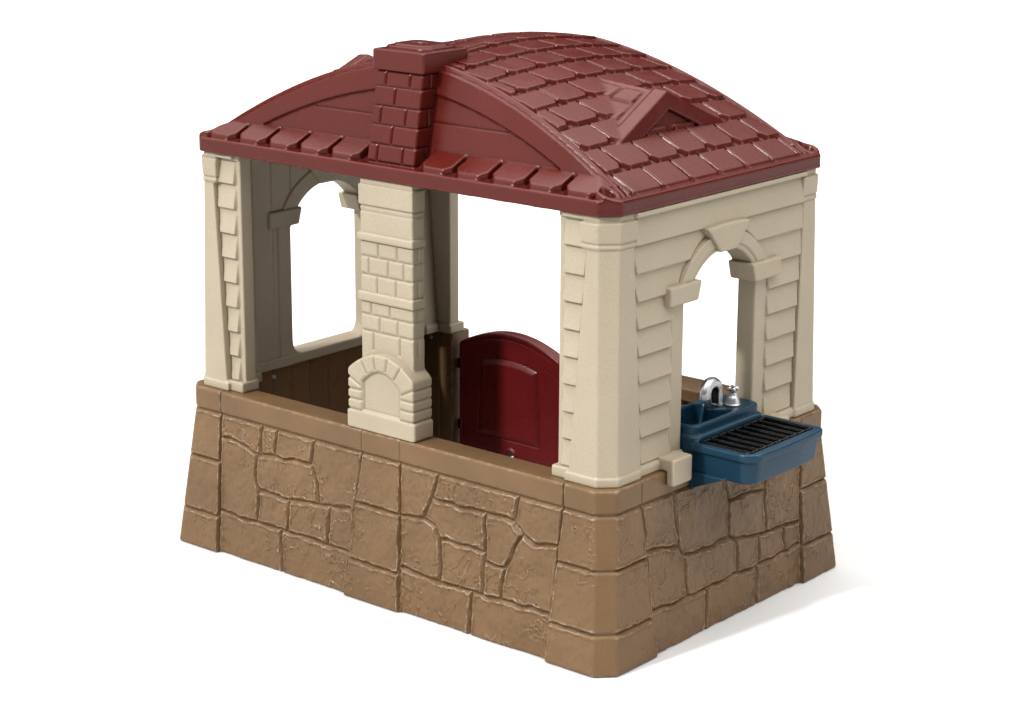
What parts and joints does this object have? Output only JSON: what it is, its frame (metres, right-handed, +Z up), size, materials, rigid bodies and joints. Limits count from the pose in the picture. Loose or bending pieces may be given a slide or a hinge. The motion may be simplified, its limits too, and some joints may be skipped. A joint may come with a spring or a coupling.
{
  "type": "plastic playhouse",
  "caption": "Walk-in plastic playhouse: stone-pattern base with half door, arched-window end walls, brick fireplace column, shingled roof with chimney, and an outside sink and grill tray.",
  "frame": {"origin": "on the ground, under the middle of the whole object's bounding box", "axes": "+Z up; +X towards the end wall with the sink and grill tray; -Y towards the side with the fireplace column"},
  "size_m": [1.423, 0.889, 1.196],
  "materials": {
    "base_plastic": "moulded stone relief, fine matt grain, stone brown",
    "wall_plastic": "smooth rotomoulded plastic with a fine speckle, cream",
    "roof_plastic": "satin moulded plastic, dark red",
    "door_plastic": "satin moulded plastic, deep red",
    "tray_plastic": "satin moulded plastic, slate blue",
    "grate_plastic": "satin moulded plastic, black",
    "faucet_plastic": "silver-plated moulded plastic",
    "pin_plastic": "moulded plastic, black",
    "screw_steel": "zinc-plated steel"
  },
  "bodies": {
    "house": {"base_back_panel": "base_plastic", "base_front_panel": "base_plastic", "base_left_end": "base_plastic", "base_right_end": "base_plastic", "base_screw_back_right_1": "screw_steel", "base_screw_back_right_2": "screw_steel", "base_screw_front_left_1": "screw_steel", "base_screw_front_left_2": "screw_steel", "base_screw_front_right_1": "screw_steel", "base_screw_front_right_2": "screw_steel", "chimney": "roof_plastic", "chimney_screw_left": "screw_steel", "chimney_screw_right": "screw_steel", "column_screw": "screw_steel", "faucet_valve": "faucet_plastic", "fireplace_column": "wall_plastic", "roof": "roof_plastic", "roof_screw_left_back": "screw_steel", "roof_screw_left_front": "screw_steel", "roof_screw_right_back": "screw_steel", "roof_screw_right_front": "screw_steel", "sink_grill_tray": "tray_plastic", "tray_screw_back_right": "screw_steel", "tray_screw_front_right": "screw_steel", "wall_left_end": "wall_plastic", "wall_right_end": "wall_plastic", "wall_screw_left_back_end": "screw_steel", "wall_screw_left_back_return": "screw_steel", "wall_screw_left_front_end": "screw_steel", "wall_screw_left_front_return": "screw_steel", "wall_screw_right_back_end": "screw_steel", "wall_screw_right_back_return": "screw_steel", "wall_screw_right_front_end": "screw_steel", "wall_screw_right_front_return": "screw_steel"},
    "door": {"half_door": "door_plastic", "hinge_pin_lower": "pin_plastic", "hinge_pin_upper": "pin_plastic"},
    "grate": {"grill_grate": "grate_plastic"},
    "spout": {"faucet_spout": "faucet_plastic"},
    "knob": {"faucet_knob": "faucet_plastic"}
  },
  "joints": [
    {"name": "door_swing", "type": "hinge", "parent": "house", "child": "door", "pos_m": [-0.4935, 0.3665, 0.24], "axis": [0, 0, 1], "range_deg": [0, 90]},
    {"name": "grate_lift", "type": "slide", "parent": "house", "child": "grate", "axis": [0, 0, 1], "range_m": [0, 0.05]},
    {"name": "spout_swivel", "type": "hinge", "parent": "house", "child": "spout", "pos_m": [0.4965, 0.042, 0.45], "axis": [0, 0, 1], "range_deg": [-60, 60]},
    {"name": "knob_turn", "type": "hinge", "parent": "house", "child": "knob", "pos_m": [0.5185, 0.065, 0.484], "axis": [0, 0, 1], "range_deg": [-90, 90]}
  ]
}
